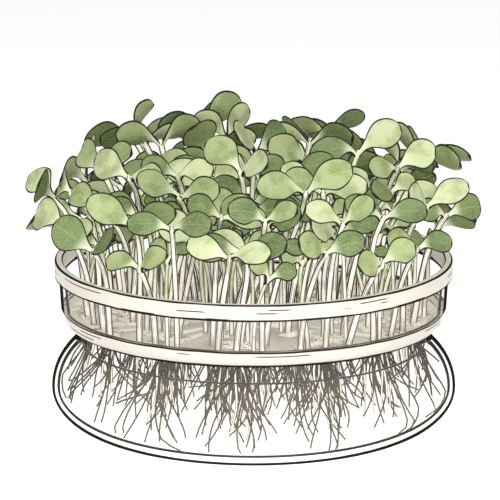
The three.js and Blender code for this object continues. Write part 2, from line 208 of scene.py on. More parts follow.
# Fine dark roots
ROOTLETS_IN_CLUSTER = 12
ROOTLET_ROWS = 14
ROOTLET_SIDES = 5
ROOTLET_HEADING_RANGE = 4.4
ROOTLET_LOWEST_Z = (4.5, 26)
ROOTLET_LENGTH_POWER = 1.3
OUTER_ROOTLET_LIFT = 2
ROOTLET_START = 0.8
ROOTLET_REACH = (2, 15)
OUTER_ROOTLET_REACH = 4
ROOTLET_REACH_POWER = 1.4
ROOTLET_CURL = (-1.6, 1.6)
ROOTLET_SWAY = 2.8
ROOTLET_WAVES = 5.5
ROOTLET_TIP_R = 0.3
ROOTLET_TAPER = 0.12

# Felt mesh
FELT_RINGS = 7
FELT_SIDES = 28
FELT_FILL = 0.9
FELT_TOP_SHARE = 0.12
FELT_ROUNDING = 0.6
FELT_EVEN_SHARE = 0.85
FIBRES_IN_FELT = 26
FIBRE_AREA = 0.85
FIBRE_POINTS = 8
FIBRE_SIDES = 5
FIBRE_R = 0.13
FIBRE_LENGTH = 3.4
FIBRE_BEND_RANGE = 5
FIBRE_Z = 1.28
FIBRE_ARCH = 0.45
FIBRE_TONE = (0.15, 0.65)

# Turned meshes
ROUND_SIDES = 192
LOWER_SIDE_STEPS = 16
UPPER_SIDE_STEPS = 14
LIP_STEPS = 8
LIP_RISE = 0.9
CORNER_STEPS = 4
CORNER_LIMIT = 0.4
BAND_CURVE_SHARE = 0.35
BAND_INSET = 1
BAND_OVERLAP = 0.4
BAND_ROUNDING = 1.6
WALL_ROUNDING = 0.8
FLOOR_CORNER = 6
HOLE_SEGMENTS = 24
HOLE_CUT_DEPTH = 5
SURFACE_DROP = 0.55
# How far inwards from the glass a point of the water's surface is, and how high over WATER_Z
MENISCUS = ((0, 0), (0.25, 0.25), (0.8, -0.25), (1.8, -0.5), (4, -SURFACE_DROP))

# Lines drawn on the tray: a height, with the line's width or with the offset of its dashes
TRAY_TOP_EDGE = (RIM_TOP_Z - 0.1, 0.9)
TRAY_EDGES = ((RIM_BOTTOM_Z + 0.4, 0.9), (BAND_TOP_Z - 0.3, 0.9), (TRAY_FOOT_Z + 0.7, 1.8))
TRAY_DASHES = ((RIM_TOP_Z - 1.9, 1.0), (RIM_TOP_Z - 3.2, 2.0), (RIM_BOTTOM_Z + 0.9, 3.0),
               (BAND_TOP_Z - 1.9, 4.0), (BAND_TOP_Z - 3.6, 5.0))
TRAY_DASH_WIDTH = 0.4
# In which range of Facing the wall's edge turns dark: painted shade where the wall is seen edge on
PAINTED_WALL_EDGE = (0.8, 0.86)

# In which range of Facing the bowl's edge turns dark, which begins later on an underside: painted shade
# where the glass is seen edge on
PAINTED_GLASS_EDGE = (0.805, 0.83)
UNDERSIDE_SHIFT = 0.08
# Heights between which the inner face's dark edge ends, so that the bowl's floor stays clear
INNER_LOW_Z = (15, 13)
# A dashed line near the bowl's foot, and the line where the water meets the glass
FOOT_DASH = (1.6, 7.0)
FOOT_DASH_WIDTH = 0.35
WATER_LINE = (WATER_Z - 0.1, 0.5)

# How opaque a clear piece is, and how much a cloudy spot adds
RIM_ALPHA = 0.9
WALL_ALPHA = 0.06
TRAY_CLOUD = 0.06
GLASS_ALPHA = 0.02
GLASS_CLOUD = 0.03
WATER_ALPHA = 0.03
WATER_CLOUD = 0.03

SEED = 4217
SEED_STEP = 7919
WORD = 0xFFFFFFFF
UP = np.array([0.0, 0.0, 1.0])


def draws_from(seed):
    """A function that gives numbers from 0 to 1, which depend on the seed alone."""
    state = seed & WORD

    def draw():
        nonlocal state
        state = (state + 0x6D2B79F5) & WORD
        mixed = ((state ^ (state >> 15)) * (state | 1)) & WORD
        mixed ^= (mixed + (((mixed ^ (mixed >> 7)) * (mixed | 61)) & WORD)) & WORD
        return ((mixed ^ (mixed >> 14)) & WORD) / 4294967296

    return draw


def between(low, high, share):
    return low + (high - low) * share


def within(limits, share):
    return between(limits[0], limits[1], share)


def polar(angle, radius, height=0.0):
    return np.array([radius * math.cos(angle), radius * math.sin(angle), height])


def unit(vector):
    return vector / math.sqrt(float(vector @ vector))


def bezier(points, share):
    """A point of a cubic curve, or one row of points for an array of shares."""
    t = np.asarray(share, float)[..., None]
    a, b, c, d = points
    return (1 - t) ** 3 * a + 3 * (1 - t) ** 2 * t * b + 3 * (1 - t) * t**2 * c + t**3 * d


def leaf_shape(share):
    """Half of a seed leaf's width at a share of its length, as a share of its greatest half width."""
    if share < LEAF_WIDEST:
        return math.cos((math.pi / 2) * (LEAF_WIDEST - share) / LEAF_WIDEST) ** 2
    return math.sqrt(max(0.0, 1 - ((share - LEAF_WIDEST) / (1 - LEAF_WIDEST)) ** 2))


def leaf_middle(leaf, share):
    rise = leaf["lift"] * share - leaf["droop"] * share * share
    arch = leaf["bend"] * share * (1 - share)
    way = leaf["out"] * share + leaf["aside"] * arch + leaf["face"] * rise
    return leaf["root"] + way * leaf["length"]


def leaf_aside(leaf, share):
    return unit(leaf["aside"] - leaf["out"] * (leaf["bend"] * (1 - 2 * share)))


def leaf_face(leaf, share):
    slope = leaf["lift"] - 2 * leaf["droop"] * share
    return unit(leaf["face"] - leaf["out"] * slope)


def cluster_places():
    places = []
    for ring, count in enumerate(CLUSTERS_IN_RING):
        for index in range(count):
            places.append({
                "ring": ring,
                "angle": ring * RING_TURN + (index / count) * 2 * math.pi,
                "radius": ring * RING_SPACING,
                "seed": SEED + len(places) * SEED_STEP,
                "number": len(places) + 1,
            })
    return places


def beside(place, distance):
    """A way across a cluster, at right angles to the way out from the axis."""
    return polar(place["angle"] + math.pi / 2, distance)


def gaze_angle(tip_angle, outer):
    """The way a pair of leaves is turned: to the front or the back, and more outwards at the sides."""
    open_side = -math.pi / 2 if math.sin(tip_angle) < 0 else math.pi / 2
    off = math.atan2(math.sin(tip_angle - open_side), math.cos(tip_angle - open_side))
    return open_side + off * SIDE_TURN * outer


def draw_leaf(tip, growth, across, gaze, size, hand, draw):
    """One leaf of a pair, on one hand or the other (1 or -1) of the stem's tip."""
    arch = within(LEAF_ARCH, draw())
    rise = within(LEAF_RISE, draw()) - arch / 2
    out = unit(across * (hand * math.cos(rise)) + growth * math.sin(rise))
    pitch = within(LEAF_PITCH, draw())
    sight = polar(gaze, math.sin(pitch), math.cos(pitch))
    face = unit(sight - out * float(sight @ out))
    return {
        "out": out,
        "face": face,
        "aside": np.cross(out, face),
        "bend": -hand * arch,
        "root": tip,
        "length": size * within(LEAF_LENGTH, draw()),
        "width": size * within(LEAF_WIDTH, draw()),
        "lift": within(LEAF_LIFT, draw()),
        "droop": within(LEAF_DROOP, draw()),
    }


def with_leaves(stem, growth, gaze, sizes, draw):
    """A seedling: its stem's curve, and a pair of leaves drawn at random for its tip."""
    turn = (draw() - 0.5) * PAIR_TURN_RANGE
    across = polar(gaze + math.pi / 2 + turn, 1)
    size = within(sizes, draw())
    leaves = [draw_leaf(stem[-1], growth, across, gaze, size, hand, draw) for hand in (1, -1)]
    return {"stem": stem, "growth": growth, "leaves": leaves}


def draw_seedling(base, outer, draw):
    """One seedling drawn at random over a base point: its stem's curve and its pair of leaves.

    Outer is 0 on the axis and 1 at the outer ring."""
    base_r = math.hypot(base[0], base[1])
    wander = (draw() - 0.5) * within(TIP_WANDER, outer)
    tip_angle = math.atan2(base[1], base[0]) + wander
    spread = within(TIP_SPREAD, draw())
    drift = INNER_DRIFT * draw() * (1 - outer)
    tip_r = min(TIP_LIMIT_R, base_r * spread + drift)
    depth = within(CANOPY_DEPTH, outer) * draw() ** DEPTH_POWER
    tip = polar(tip_angle, tip_r, CANOPY_TOP_Z - CANOPY_DROP * (tip_r / CANOPY_R) ** 4 - depth)
    height = tip[2] - base[2]
    tilt = within(LEAST_TILT, outer) + within(TILT_RANGE, outer) * draw()
    heading = tip_angle + (draw() - 0.5) * within(HEADING_RANGE, outer)
    growth = polar(heading, math.sin(tilt), math.cos(tilt))
    lean = within(STEM_LEAN, draw())
    low = base + (tip - base) * lean
    low[2] = base[2] + height * STEM_LOW_SHARE
    high = tip - growth * (STEM_CURVE_SHARE * height)
    gaze = gaze_angle(tip_angle, outer) + (draw() - 0.5) * within(GAZE_RANGE, outer)
    return with_leaves((base, low, high, tip), growth, gaze, SEEDLING_SIZE, draw)


def touch_points(seedling):
    """Points spread over a seedling, which stand for it when its room is measured."""
    points = [bezier(seedling["stem"], STEM_SAMPLES)]
    for leaf in seedling["leaves"]:
        for share in LEAF_SAMPLES:
            half = leaf_shape(share) * leaf["width"] / 2
            places = ACROSS_SAMPLES if share > NARROW_SHARE else np.zeros(1)
            points.append(leaf_middle(leaf, share) + np.outer(half * places, leaf_aside(leaf, share)))
    return np.concatenate(points)


def stays_inside(points):
    radius = np.hypot(points[:, 0], points[:, 1])
    count = len(STEM_SAMPLES)
    leaves_fit = (radius[count:] < REACH_LIMIT_R).all() and (points[count:, 2] > LEAF_LOWEST_Z).all()
    return leaves_fit and ((points[:count, 2] > RIM_CLEAR_Z) | (radius[:count] < RIM_CLEAR_R)).all()


def room_of(points, taken):
    if not len(taken):
        return math.inf
    gaps = points[:, None, :] - taken[None, :, :]
    return math.sqrt(float(np.einsum("ijk,ijk->ij", gaps, gaps).min()))


def place_seedling(base, outer, draw, taken):
    """Draws a seedling until it has room, or keeps the roomiest of its tries."""
    best_room, best, best_points = -1, None, None
    for _ in range(TRIES):
        seedling = draw_seedling(base, outer, draw)
        points = touch_points(seedling)
        if stays_inside(points):
            room = room_of(points, taken)
            if room > best_room:
                best_room, best, best_points = room, seedling, points
        if best_room >= CLEARANCE:
            break
    return best, best_points


def root_tips(place, draw):
    lift = OUTER_ROOT_LIFT if place["ring"] == OUTER_RING else 0
    return [
        {
            "angle": ((index + ROOT_TURN_RANGE * draw()) / ROOTS_IN_CLUSTER) * 2 * math.pi,
            "reach": within(ROOT_REACH, draw()),
            "bow": within(ROOT_BOW, draw()),
            "height": ROOT_LOWEST_Z + lift + ROOT_LENGTH_RANGE * draw() ** ROOT_LENGTH_POWER,
        }
        for index in range(ROOTS_IN_CLUSTER)
    ]


def stem_bases(place, draw):
    count = STEMS_IN_RING[place["ring"]]
    centre = polar(place["angle"], place["radius"] * FELT_SHIFT, STEM_BASE_Z)
    bases = []
    for index in range(count):
        along = (index - (count - 1) / 2) * STEM_SPACING + (draw() - 0.5) * STEM_JITTER
        across = (draw() - 0.5) * STEM_JITTER
        bases.append(centre + beside(place, along) + polar(place["angle"], across))
    return bases


def grow_crop():
    """Every cluster with its roots' tips and its seedlings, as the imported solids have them."""
    clusters = []
    taken = np.empty((0, 3))
    for place in cluster_places():
        draw = draws_from(place["seed"])
        outer = place["ring"] / OUTER_RING
        tips = root_tips(place, draw)
        seedlings = []
        for base in stem_bases(place, draw):
            seedling, points = place_seedling(base, outer, draw, taken)
            taken = np.concatenate([taken, points])
            seedlings.append(seedling)
        clusters.append({"place": place, "tips": tips, "seedlings": seedlings})
    return clusters, taken


def draw_sprout(place, draw):
    """A young seedling over any spot of its cluster's felt, with small leaves under the canopy."""
    half = (STEMS_IN_RING[place["ring"]] - 1) * STEM_SPACING / 2 + SPROUT_BEYOND_STEM
    radius = place["radius"] * FELT_SHIFT + (draw() - 0.5) * SPROUT_BED_DEPTH
    base = polar(place["angle"], radius, STEM_BASE_Z)
    base = base + beside(place, (draw() * 2 - 1) * half)
    tip = base + polar(2 * math.pi * draw(), SPROUT_LEAN * draw())
    tip[:2] *= min(1, SPROUT_TIP_R / max(math.hypot(tip[0], tip[1]), 1))
    tip[2] = within(SPROUT_TIP_Z, draw())
    growth = unit(tip - base + polar(2 * math.pi * draw(), SPROUT_TILT))
    height = tip[2] - base[2]
    low = base + UP * (height * STEM_LOW_SHARE)
    high = tip - growth * (STEM_CURVE_SHARE * height)
    gaze = gaze_angle(math.atan2(tip[1], tip[0]), 1) + (draw() - 0.5) * SPROUT_GAZE_RANGE
    return with_leaves((base, low, high, tip), growth, gaze, SPROUT_SIZE, draw)


def grow_sprouts(place, taken):
    """The young sprouts of a cluster that find room, and all points taken after them."""
    draw = draws_from(place["seed"] + 2)
    centre = polar(place["angle"], place["radius"])
    near = taken[np.hypot(taken[:, 0] - centre[0], taken[:, 1] - centre[1]) < NEAR_R]
    sprouts = []
    for _ in range(SPROUTS_IN_CLUSTER):
        for _ in range(SPROUT_TRIES):
            sprout = draw_sprout(place, draw)
            points = touch_points(sprout)
            if room_of(points, near) > SPROUT_CLEARANCE:
                sprouts.append(sprout)
                near = np.concatenate([near, points])
                taken = np.concatenate([taken, points])
                break
    return sprouts, taken


# Meshes


def new_mesh(name, points, faces, materials):
    """A smooth mesh. The points are in metres."""
    mesh = bpy.data.meshes.new(name)
    mesh.from_pydata(points, [], faces)
    for material in materials:
        mesh.materials.append(material)
    mesh.polygons.foreach_set("use_smooth", [True] * len(faces))
    return mesh


def new_object(name, data):
    made = bpy.data.objects.new(name, data)
    bpy.context.scene.collection.objects.link(made)
    return made


class Skin:
    """Vertices, faces and marks of one piece while it is built, in millimetres."""

    MARKS = ("along", "across", "margin", "tone")

    def __init__(self):
        self.points = []
        self.faces = []
        self.materials = []
        self.marks = []

    def add(self, points, faces, material, marks):
        """Adds a patch. marks has one row of the four values for each point."""
        start = len(self.points)
        self.points.extend(points)
        self.marks.extend(marks)
        self.faces.extend([start + corner for corner in face] for face in faces)
        self.materials.extend([material] * len(faces))

    def make(self, name, materials):
        points = [tuple(point * MM) for point in self.points]
        mesh = new_mesh(name, points, self.faces, materials)
        mesh.polygons.foreach_set("material_index", self.materials)
        rows = np.array(self.marks, np.float32)
        for column, mark in enumerate(self.MARKS):
            layer = mesh.attributes.new(mark, "FLOAT", "POINT")
            layer.data.foreach_set("value", np.ascontiguousarray(rows[:, column]))
        mesh.update()
        return new_object(name, mesh)


def ring_faces(rings, sides):
    """Faces of a tube through rings of points, with its ends closed."""
    faces = []
    for ring in range(rings - 1):
        for side in range(sides):
            following = (side + 1) % sides
            low, high = ring * sides, (ring + 1) * sides
            faces.append([low + side, low + following, high + following, high + side])
    faces.append(list(range(sides))[::-1])
    faces.append([(rings - 1) * sides + side for side in range(sides)])
    return faces


def add_tube(skin, centres, radii, sides, material, tone):
    """A tube along a line of centres. Its marks say how far a point is along it, how far it is
    turned to the right and to the front, and the tone."""
    centres = np.asarray(centres)
    directions = np.gradient(centres, axis=0)
    directions /= np.linalg.norm(directions, axis=1)[:, None]
    helper = np.array([1.0, 0.0, 0.0])
    angles = np.arange(sides) / sides * 2 * math.pi
    points, marks = [], []
    for index, (centre, direction, radius) in enumerate(zip(centres, directions, radii)):
        front = unit(np.cross(helper, direction))
        right = np.cross(direction, front)
        share = index / (len(centres) - 1)
        for angle in angles:
            points.append(centre + (front * math.cos(angle) + right * math.sin(angle)) * radius)
            marks.append((share, math.sin(angle), math.cos(angle), tone))
    skin.add(points, ring_faces(len(centres), sides), material, marks)


# The places of a bunch's materials
LEAF, STEM, ROOT, FELT = range(4)


def leaf_rows():
    """Shares along a leaf, closer together towards its round tip."""
    body = [LEAF_WIDEST * index / (LEAF_ROWS // 2) for index in range(LEAF_ROWS // 2)]
    steps = LEAF_ROWS - LEAF_ROWS // 2
    crown = [between(LEAF_WIDEST, 1, math.sin(math.pi / 2 * index / steps)) for index in range(steps)]
    return body + crown


def add_leaf(skin, leaf, growth, tone, draw):
    """A closed blade with a thin rounded edge, cupped across and gently waved."""
    cup = within(LEAF_CUP, draw())
    wave = within(LEAF_WAVE, draw())
    phase = 2 * math.pi * draw()
    half_width = leaf["width"] / 2
    shares = leaf_rows()
    columns = LEAF_COLUMNS
    places = [-math.cos(math.pi * column / columns) for column in range(columns + 1)]
    points, marks = [], []
    for share in shares:
        shape = leaf_shape(share)
        half = math.hypot(PETIOLE_HALF * (1 - share), shape * half_width)
        thick = between(PETIOLE_THICK, BLADE_THICK, min(1, share / THINNING_SHARE))
        sink = PETIOLE_SINK * max(0, 1 - share / PETIOLE_SHARE) ** 2
        middle = leaf_middle(leaf, share) - growth * sink
        face = leaf_face(leaf, share)
        aside = leaf_aside(leaf, share)
        blade = min(1, share / BLADE_SHARE) ** 2
        for sheet in (1, -1):
            for column, place in enumerate(places):
                edge = column in (0, columns)
                if edge and sheet < 0:
                    continue
                ripple = math.sin(phase + WAVES_ALONG * share + WAVES_ACROSS * place)
                height = cup * half * place * place * blade + wave * blade * abs(place) * ripple
                body = 0 if edge else sheet * thick / 2 * math.sqrt(1 - place * place)
                points.append(middle + aside * (place * half) + face * (height + body))
                rim = min(half * (1 - abs(place)), (1 - share) * leaf["length"])
                marks.append((share, place, rim, tone))
    points.append(leaf_middle(leaf, 1.0) + leaf_face(leaf, 1.0) * (wave * TIP_LIFT))
    marks.append((1, 0, 0, tone))
    row_size = 2 * columns
    last = len(shares) - 1
    tip = len(points) - 1

    def corner(row, column, sheet):
        if sheet > 0 or column in (0, columns):
            return row * row_size + column
        return row * row_size + columns + column

    faces = []
    for sheet in (1, -1):
        for row in range(last):
            for column in range(columns):
                quad = [corner(row, column, sheet), corner(row, column + 1, sheet),
                        corner(row + 1, column + 1, sheet), corner(row + 1, column, sheet)]
                faces.append(quad[::-1] if sheet > 0 else quad)
        for column in range(columns):
            fan = [corner(last, column, sheet), corner(last, column + 1, sheet), tip]
            faces.append(fan[::-1] if sheet > 0 else fan)
    base = [corner(0, column, 1) for column in range(columns + 1)]
    base += [corner(0, column, -1) for column in range(columns - 1, 0, -1)]
    faces.append(base)
    skin.add(points, faces, LEAF, marks)


def add_stem(skin, seedling, girth, tone, draw):
    """A juicy stem, a little uneven, which swells at the fork under its leaves."""
    shares = np.arange(STEM_ROWS) / (STEM_ROWS - 1)
    centres = bezier(seedling["stem"], shares)
    phase = 2 * math.pi * draw()
    radii = []
    for share in shares:
        radius = between(STEM_BASE_R, STEM_TOP_R, share) * girth
        radius *= 1 + STEM_UNEVEN * math.sin(phase + STEM_WAVES * share)
        radii.append(radius + FORK_SWELL * max(0, share - FORK_SHARE) / (1 - FORK_SHARE))
    cap = seedling["growth"] * CAP_HEIGHT
    centres = np.concatenate([centres, [centres[-1] + cap]])
    radii.append(radii[-1] * CAP_SHARE)
    add_tube(skin, centres, radii, STEM_SIDES, STEM, tone)


def root_middle(place, height):
    """The middle of a cluster's roots, which splay outwards on their way down."""
    splay = 1 + ROOT_SPLAY * (TRAY_FLOOR_Z - height) / ROOT_SPLAY_DEPTH
    return polar(place["angle"], place["radius"] * splay, height)


def root_line(place, tip, draw):
    """A root's wavy middle line, from its felt to its tip."""
    phase = 2 * math.pi * draw()
    sway = within(ROOT_SWAY, draw())
    line = []
    for index in range(ROOT_ROWS):
        share = index / (ROOT_ROWS - 1)
        middle = root_middle(place, between(ROOT_TOP_Z, tip["height"], share))
        reach = between(ROOT_TOP_OFFSET, tip["reach"], share)
        swing = sway * share * math.sin(phase + ROOT_WAVES * share)
        middle = middle + polar(tip["angle"] + tip["bow"] * share, reach)
        line.append(middle + beside(place, swing))
    return np.array(line)


def add_root(skin, place, tip, draw):
    """A pale root that thins towards its tip."""
    shares = np.arange(ROOT_ROWS) / (ROOT_ROWS - 1)
    radii = ROOT_TAPER * (1 - shares) ** ROOT_TAPER_POWER + ROOT_TIP_R
    add_tube(skin, root_line(place, tip, draw), radii, ROOT_SIDES, ROOT, 0.0)


def add_rootlet(skin, place, draw):
    """A fine dark root that wanders off sideways in a long curve."""
    in_outer_ring = place["ring"] == OUTER_RING
    heading = place["angle"] + (draw() - 0.5) * ROOTLET_HEADING_RANGE
    lowest = within(ROOTLET_LOWEST_Z, draw() ** ROOTLET_LENGTH_POWER)
    lowest += OUTER_ROOTLET_LIFT if in_outer_ring else 0
    reach = within(ROOTLET_REACH, draw()) + (OUTER_ROOTLET_REACH if in_outer_ring else 0)
    curl = within(ROOTLET_CURL, draw())
    phase = 2 * math.pi * draw()
    shares = np.arange(ROOTLET_ROWS) / (ROOTLET_ROWS - 1)
    line = []
    for share in shares:
        middle = root_middle(place, between(ROOT_TOP_Z - 1, lowest, share))
        spread = ROOTLET_START + reach * share**ROOTLET_REACH_POWER
        point = middle + polar(heading + curl * share, spread)
        swing = ROOTLET_SWAY * share * math.sin(phase + ROOTLET_WAVES * share)
        line.append(point + beside(place, swing))
    radii = ROOTLET_TAPER * (1 - shares) + ROOTLET_TIP_R
    add_tube(skin, kept_in_bowl(line), radii, ROOTLET_SIDES, ROOT, 1.0)


def kept_in_bowl(line):
    """Moves points of a line inwards where they would touch the glass."""
    kept = []
    for point in line:
        limit = bowl_radius(point[2], GLASS) - GLASS_CLEARANCE
        radius = math.hypot(point[0], point[1])
        scale = min(1.0, limit / max(radius, 1e-6))
        kept.append(np.array([point[0] * scale, point[1] * scale, point[2]]))
    return np.array(kept)


def bowl_radius(height, inset):
    """The bowl's radius inside at a height: its side moved inwards by inset."""
    reach = BELLY_R - FOOT_R - inset
    rise = BELLY_Z - BOWL_FLOOR if height < BELLY_Z else SHOULDER_HEIGHT - inset
    share = min(1.0, abs(height - BELLY_Z) / rise)
    radius = FOOT_R + reach * math.sqrt(1 - share * share)
    return max(LIP_R - inset, radius) if height > BELLY_Z else radius


def add_felt(skin, place, draw):
    """The flat pad of matted roots, with loose fibres on it."""
    length = (STEMS_IN_RING[place["ring"]] - 1) * STEM_SPACING / 2 + FELT_BEYOND_STEM
    low = TRAY_FLOOR_Z + TOUCH
    centre = polar(place["angle"], place["radius"] * FELT_SHIFT)
    points, marks = [], []
    for ring in range(FELT_RINGS):
        turn = ring / (FELT_RINGS - 1) * math.pi / 2
        for side in range(FELT_SIDES):
            angle = side / FELT_SIDES * 2 * math.pi
            uneven = 0.06 * math.sin(3 * angle + place["seed"]) + 0.04 * math.sin(7 * angle)
            spread = math.cos(turn) if ring < FELT_RINGS - 1 else FELT_TOP_SHARE
            spread *= FELT_FILL + uneven
            point = centre + polar(place["angle"], FELT_DEPTH * spread * math.cos(angle))
            point = point + beside(place, length * spread * math.sin(angle))
            height = FELT_THICKNESS * math.sin(turn) ** FELT_ROUNDING
            point[2] = low + height * between(FELT_EVEN_SHARE, 1, draw())
            points.append(point)
            marks.append((ring / FELT_RINGS, side / FELT_SIDES, 0, 0.5))
    skin.add(points, ring_faces(FELT_RINGS, FELT_SIDES), FELT, marks)
    for _ in range(FIBRES_IN_FELT):
        angle = 2 * math.pi * draw()
        share = math.sqrt(draw())
        share *= FIBRE_AREA
        start = centre + polar(place["angle"], FELT_DEPTH * share * math.cos(angle))
        start = start + beside(place, length * share * math.sin(angle))
        heading = 2 * math.pi * draw()
        bend = (draw() - 0.5) * FIBRE_BEND_RANGE
        line = []
        for step in range(FIBRE_POINTS):
            walk = step / (FIBRE_POINTS - 1)
            point = start + polar(heading + bend * walk, FIBRE_LENGTH * walk)
            point[2] = low + FIBRE_Z + FIBRE_ARCH * math.sin(math.pi * walk)
            line.append(point)
        tone = within(FIBRE_TONE, draw())
        add_tube(skin, line, [FIBRE_R] * FIBRE_POINTS, FIBRE_SIDES, ROOT, tone)


# Materials


def linear(red, green, blue):
    """A colour from 0 to 255 in sRGB as linear values with full alpha."""
    def straight(value):
        value /= 255
        return value / 12.92 if value <= 0.04045 else ((value + 0.055) / 1.055) ** 2.4
    return (straight(red), straight(green), straight(blue), 1.0)


def node(tree, kind, inputs=None, **settings):
    """A shader node. inputs maps a socket's name or number to a value or to what feeds it."""
    made = tree.nodes.new(kind)
    for name, value in settings.items():
        setattr(made, name, value)
    for key, value in (inputs or {}).items():
        if isinstance(value, bpy.types.NodeSocket):
            tree.links.new(value, made.inputs[key])
        else:
            made.inputs[key].default_value = value
    return made


def calc(tree, operation, first, second=0.0, clamp=False):
    made = node(tree, "ShaderNodeMath", {0: first, 1: second}, operation=operation, use_clamp=clamp)
    return made.outputs[0]


def plus(tree, first, second):
    return calc(tree, "ADD", first, second)


def minus(tree, first, second):
    return calc(tree, "SUBTRACT", first, second)


def times(tree, first, second):
    return calc(tree, "MULTIPLY", first, second)


def most(tree, first, second, clamp=False):
    return calc(tree, "MAXIMUM", first, second, clamp)


def mixed(tree, share, first, second, blend="MIX"):
    made = node(tree, "ShaderNodeMix", {0: share, 6: first, 7: second},
                data_type="RGBA", blend_type=blend)
    return made.outputs[2]


def ranged(tree, value, low, high, start=0.0, end=1.0):
    """A value's place between low and high, as a smooth step from start to end."""
    made = node(tree, "ShaderNodeMapRange", {0: value, 1: low, 2: high, 3: start, 4: end},
                interpolation_type="SMOOTHSTEP")
    return made.outputs[0]


def mark(tree, name):
    made = node(tree, "ShaderNodeAttribute", attribute_name=name, attribute_type="GEOMETRY")
    return made.outputs["Fac"]


def upward(tree, vector):
    return node(tree, "ShaderNodeSeparateXYZ", {0: vector}).outputs[2]


def facing(tree):
    """0 where clear material is looked at straight on, 1 where it is seen edge on."""
    return node(tree, "ShaderNodeLayerWeight", {"Blend": 0.5}).outputs["Facing"]


def noise(tree, place, scale, detail=3.0, roughness=0.5):
    made = node(tree, "ShaderNodeTexNoise", {"Vector": place, "Scale": scale, "Detail": detail,
                                             "Roughness": roughness})
    return made.outputs["Fac"]


def new_material(name, roughness, specular=0.5, clear=False):
    """A material with its tree, its Principled shader and the piece's own coordinates.

    A clear one lets the lamps' rays pass."""
    material = bpy.data.materials.new(name)
    material.use_nodes = True
    tree = material.node_tree
    tree.nodes.clear()
    shader = node(tree, "ShaderNodeBsdfPrincipled",
                  {"Roughness": roughness, "Specular IOR Level": specular})
    surface = shader.outputs[0]
    if clear:
        shadow = node(tree, "ShaderNodeLightPath").outputs["Is Shadow Ray"]
        through = node(tree, "ShaderNodeBsdfTransparent").outputs[0]
        surface = node(tree, "ShaderNodeMixShader", {0: shadow, 1: surface, 2: through}).outputs[0]
    node(tree, "ShaderNodeOutputMaterial", {"Surface": surface})
    place = node(tree, "ShaderNodeTexCoord").outputs["Object"]
    return material, tree, shader, place


def bumped(tree, shader, height, distance, strength):
    bump = node(tree, "ShaderNodeBump",
                {"Height": height, "Distance": distance, "Strength": strength})
    tree.links.new(bump.outputs[0], shader.inputs["Normal"])


# Paints: two in a row are the ends of a mottle
INK = linear(36, 33, 29)
GREEN_INK = linear(92, 104, 64)
CREAM = linear(252, 247, 236)
MID_GREEN = linear(155, 168, 115)
DARK_GREEN = linear(103, 123, 70)
LIGHT_GREEN = linear(192, 200, 155)
WASH_GREEN = linear(198, 206, 176)
GRAIN_GREEN = linear(226, 230, 200)
VEIN_GREEN = linear(214, 221, 176)
PETIOLE_GREEN = linear(226, 230, 196)
BLUSH_AND_SHADE_GREEN = linear(221, 226, 184)
PALE_ROOT = (linear(252, 248, 238), linear(242, 235, 216))
DARK_ROOT = (linear(12, 11, 10), linear(34, 31, 27))
FELT_GROUND = (linear(250, 246, 232), linear(232, 231, 204))
FELT_THREAD = linear(150, 142, 118)
TRAY_TINT = (linear(227, 221, 210), linear(220, 213, 200))
GLASS_TINT = (linear(250, 240, 220), linear(252, 246, 234))
WATER_TINT = (linear(246, 226, 186), linear(248, 236, 206))

# Noise scales, per metre
WASH_SCALE = 130
GRAIN_SCALE = 1700
BLUSH_SCALE = 90
WAVER_SCALE = 120
BROKEN_SCALE = 70
STEM_GRAIN_SCALE = 700
MOTTLE_SCALE = 500
GROUND_SCALE = 300
THREAD_SCALE = 900.0
ROUND_SCALE = 60
DASH_SCALE = 38
CLOUD_SCALE = 25
WATER_CLOUD_SCALE = 40
ROUND_WAVER = 0.0007


def leaf_material():
    """Three greens with a soft mottle, a pale petiole, fine veins and a dark margin."""
    material, tree, shader, place = new_material("leaf", 0.6, 0.2)
    along, across, margin, tone = (mark(tree, name) for name in Skin.MARKS)
    dark_share = ranged(tree, tone, 0.66, 0.7)
    light_share = ranged(tree, tone, 0.36, 0.32)
    green = mixed(tree, dark_share, MID_GREEN, DARK_GREEN)
    green = mixed(tree, light_share, green, LIGHT_GREEN)
    wash = noise(tree, place, WASH_SCALE, 2.0)
    deeper = mixed(tree, 1.0, green, WASH_GREEN, "MULTIPLY")
    green = mixed(tree, ranged(tree, wash, 0.44, 0.66, 0.0, 0.8), green, deeper)
    grain = noise(tree, place, GRAIN_SCALE, 2.0, 0.7)
    green = mixed(tree, ranged(tree, grain, 0.35, 0.7, 0.0, 0.15), green, GRAIN_GREEN)
    rib = calc(tree, "ABSOLUTE", across)
    sweep = plus(tree, times(tree, along, 52.0), times(tree, rib, -16.0))
    side_vein = ranged(tree, calc(tree, "SINE", sweep), 0.9, 1.0)
    vein = most(tree, ranged(tree, rib, 0.07, 0.0), times(tree, side_vein, 0.5))
    vein = times(tree, vein, ranged(tree, along, 0.3, 0.45))
    green = mixed(tree, times(tree, vein, 0.16), green, VEIN_GREEN)
    pale = ranged(tree, plus(tree, along, times(tree, wash, 0.2)), 0.52, 0.2)
    green = mixed(tree, times(tree, pale, 0.9), green, PETIOLE_GREEN)
    line_width = ranged(tree, along, 0.1, 0.5, 0.42, 0.62)
    line = ranged(tree, minus(tree, margin, line_width), 0.08, -0.08)
    tree.links.new(mixed(tree, line, green, INK), shader.inputs["Base Color"])
    bumped(tree, shader, minus(tree, times(tree, grain, 0.3), vein), 0.0002, 0.5)
    return material


